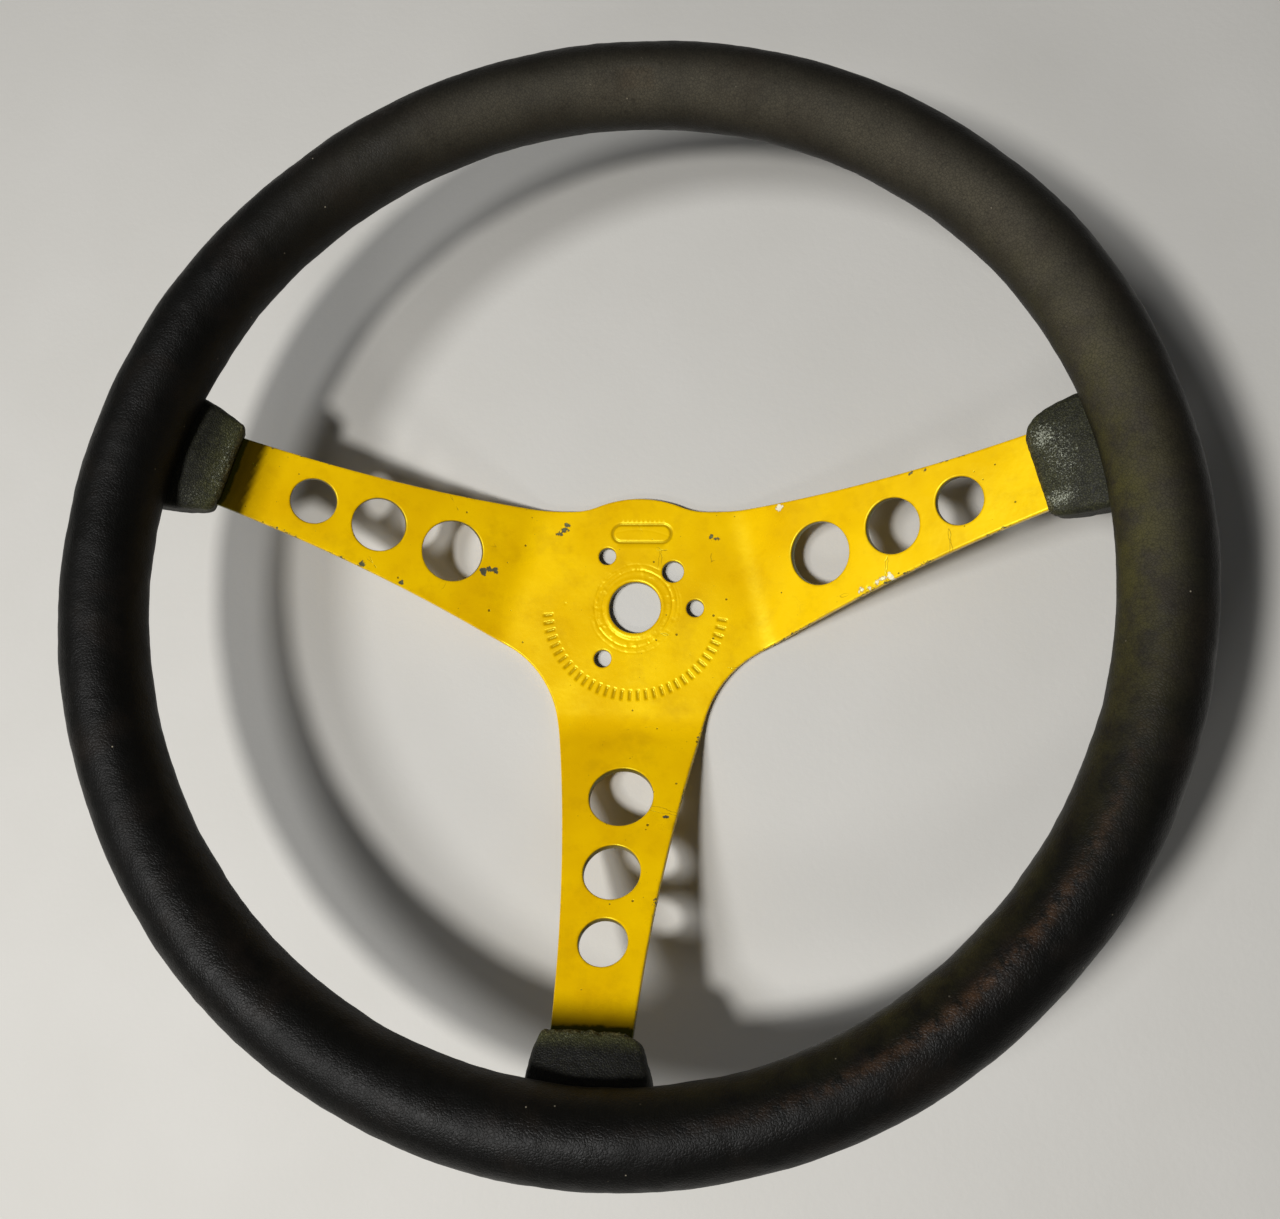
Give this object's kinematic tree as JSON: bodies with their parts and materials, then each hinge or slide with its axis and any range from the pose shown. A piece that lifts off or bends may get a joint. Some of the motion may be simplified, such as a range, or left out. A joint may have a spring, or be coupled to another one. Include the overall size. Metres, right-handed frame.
{
  "type": "steering wheel",
  "caption": "Dished three-spoke car steering wheel with a thick foam grip, rubber boots at the spokes, and a flat hub drilled for an adapter.",
  "frame": {"origin": "centre of the flat back face of the hub, which is the lowest face", "axes": "+Z along the column axis towards the driver, +Y towards the top of the wheel, +X to the driver's right"},
  "size_m": [0.3556, 0.3556, 0.0863],
  "materials": {
    "yellow_paint": "glossy yellow paint, chipped and scratched",
    "grip_foam": "matte foam rubber with a fine leathery grain, dusty",
    "boot_rubber": "satin rubber with a coarse grain and olive dust",
    "bare_steel": "mill-finish rod",
    "weld_steel": "rough weld bead"
  },
  "bodies": {
    "root": {"spoke_plate": "yellow_paint", "rim_hoop": "bare_steel", "hoop_joint": "weld_steel", "weld_right_inner": "weld_steel", "weld_right_outer": "weld_steel", "weld_left_inner": "weld_steel", "weld_left_outer": "weld_steel", "weld_bottom_inner": "weld_steel", "weld_bottom_outer": "weld_steel", "rim_grip": "grip_foam", "boot_right": "boot_rubber", "boot_left": "boot_rubber", "boot_bottom": "boot_rubber"}
  },
  "joints": []
}
